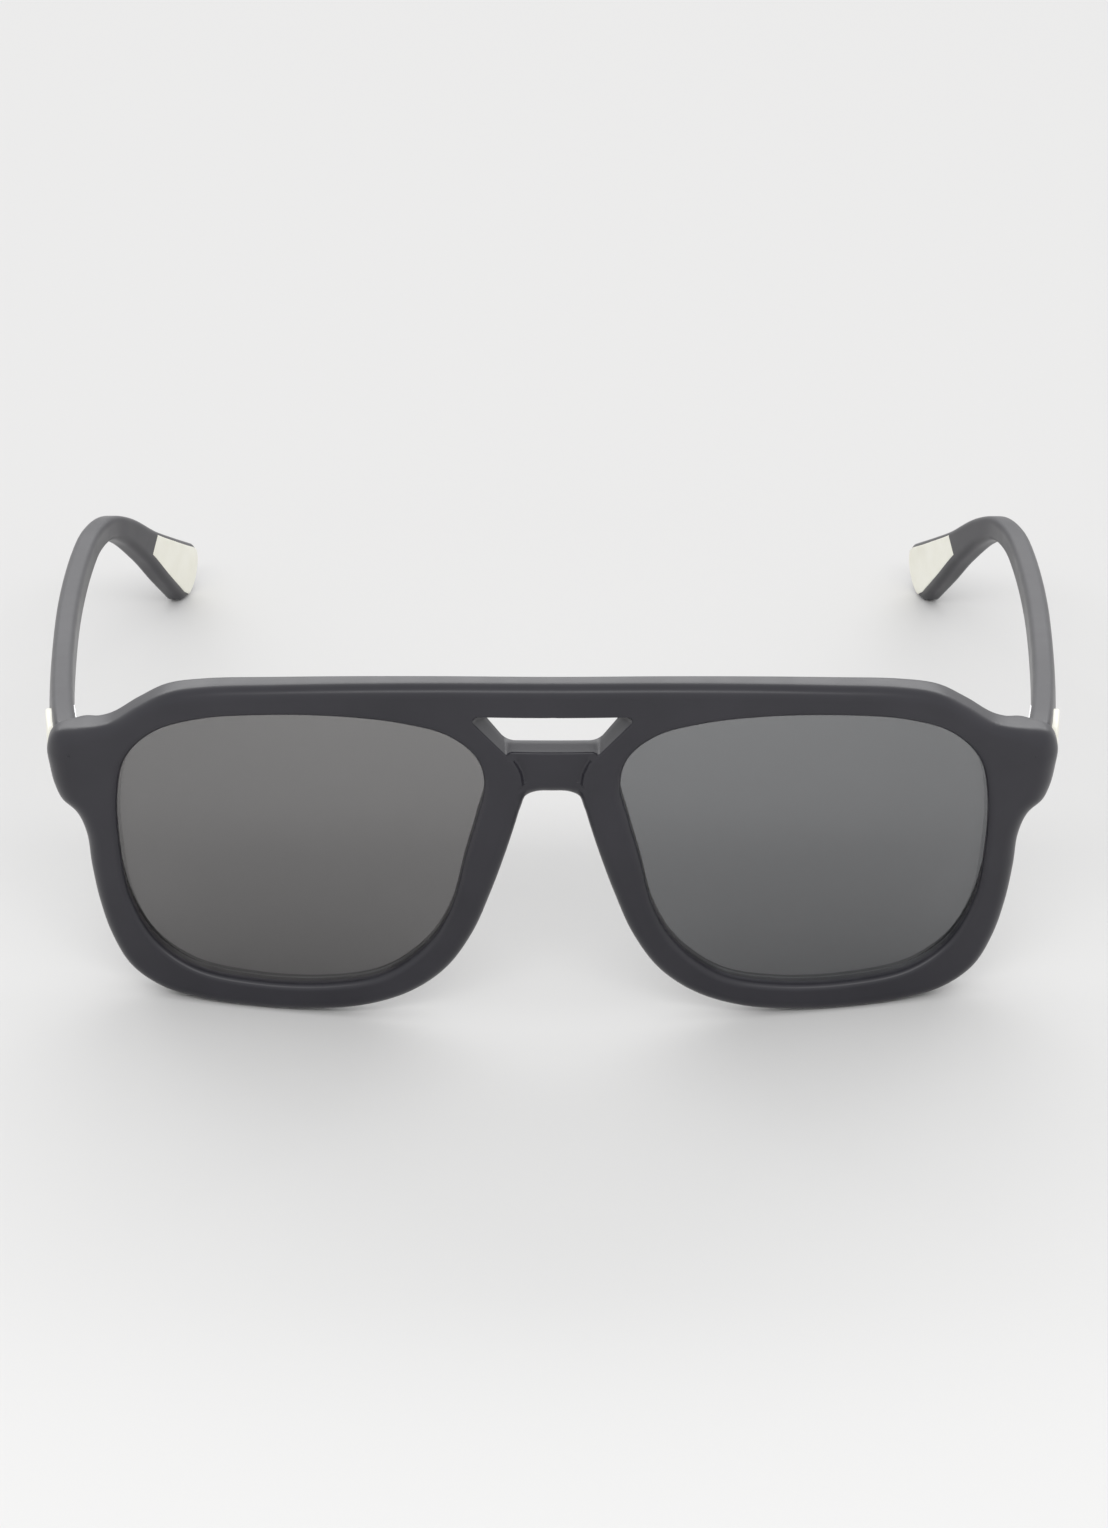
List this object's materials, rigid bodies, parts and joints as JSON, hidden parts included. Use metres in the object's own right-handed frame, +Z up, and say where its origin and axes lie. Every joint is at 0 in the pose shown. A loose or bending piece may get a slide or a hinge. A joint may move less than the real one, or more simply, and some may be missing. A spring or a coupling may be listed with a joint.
{
  "type": "aviator sunglasses",
  "caption": "Double-bridge aviator sunglasses: matte black front, smoke lenses, folding temples with bent ears, cream plaques and tip inlays.",
  "frame": {"origin": "centre of the open glasses' footprint on the surface they stand on: the rim bottoms and the temple tips touch Z = 0", "axes": "+X from the left temple to the right temple as seen from in front, +Y from the front face back to the ears, +Z up"},
  "size_m": [0.1602, 0.1481, 0.0585],
  "materials": {
    "acetate": "matte black acetate",
    "lens": "smooth neutral smoke tint",
    "steel": "satin",
    "cream": "satin cream acetate"
  },
  "bodies": {
    "front": {"front_frame": "acetate", "nose_pad_left": "acetate", "nose_pad_right": "acetate", "lens_left": "lens", "lens_right": "lens", "front_hinge_left": "steel", "front_hinge_right": "steel", "hinge_screw_left": "steel", "hinge_screw_right": "steel"},
    "temple_left_body": {"temple_left": "acetate", "temple_hinge_left": "steel", "core_wire_left": "steel", "temple_plaque_left": "cream", "tip_inlay_left": "cream"},
    "temple_right_body": {"temple_right": "acetate", "temple_hinge_right": "steel", "core_wire_right": "steel", "temple_plaque_right": "cream", "tip_inlay_right": "cream"}
  },
  "joints": [
    {"name": "fold_left", "type": "hinge", "parent": "front", "child": "temple_left_body", "pos_m": [-0.0707, -0.05545, 0.038], "axis": [0, 0, -1], "range_deg": [0, 88]},
    {"name": "fold_right", "type": "hinge", "parent": "front", "child": "temple_right_body", "pos_m": [0.0707, -0.05545, 0.038], "axis": [0, 0, 1], "range_deg": [0, 82]}
  ]
}
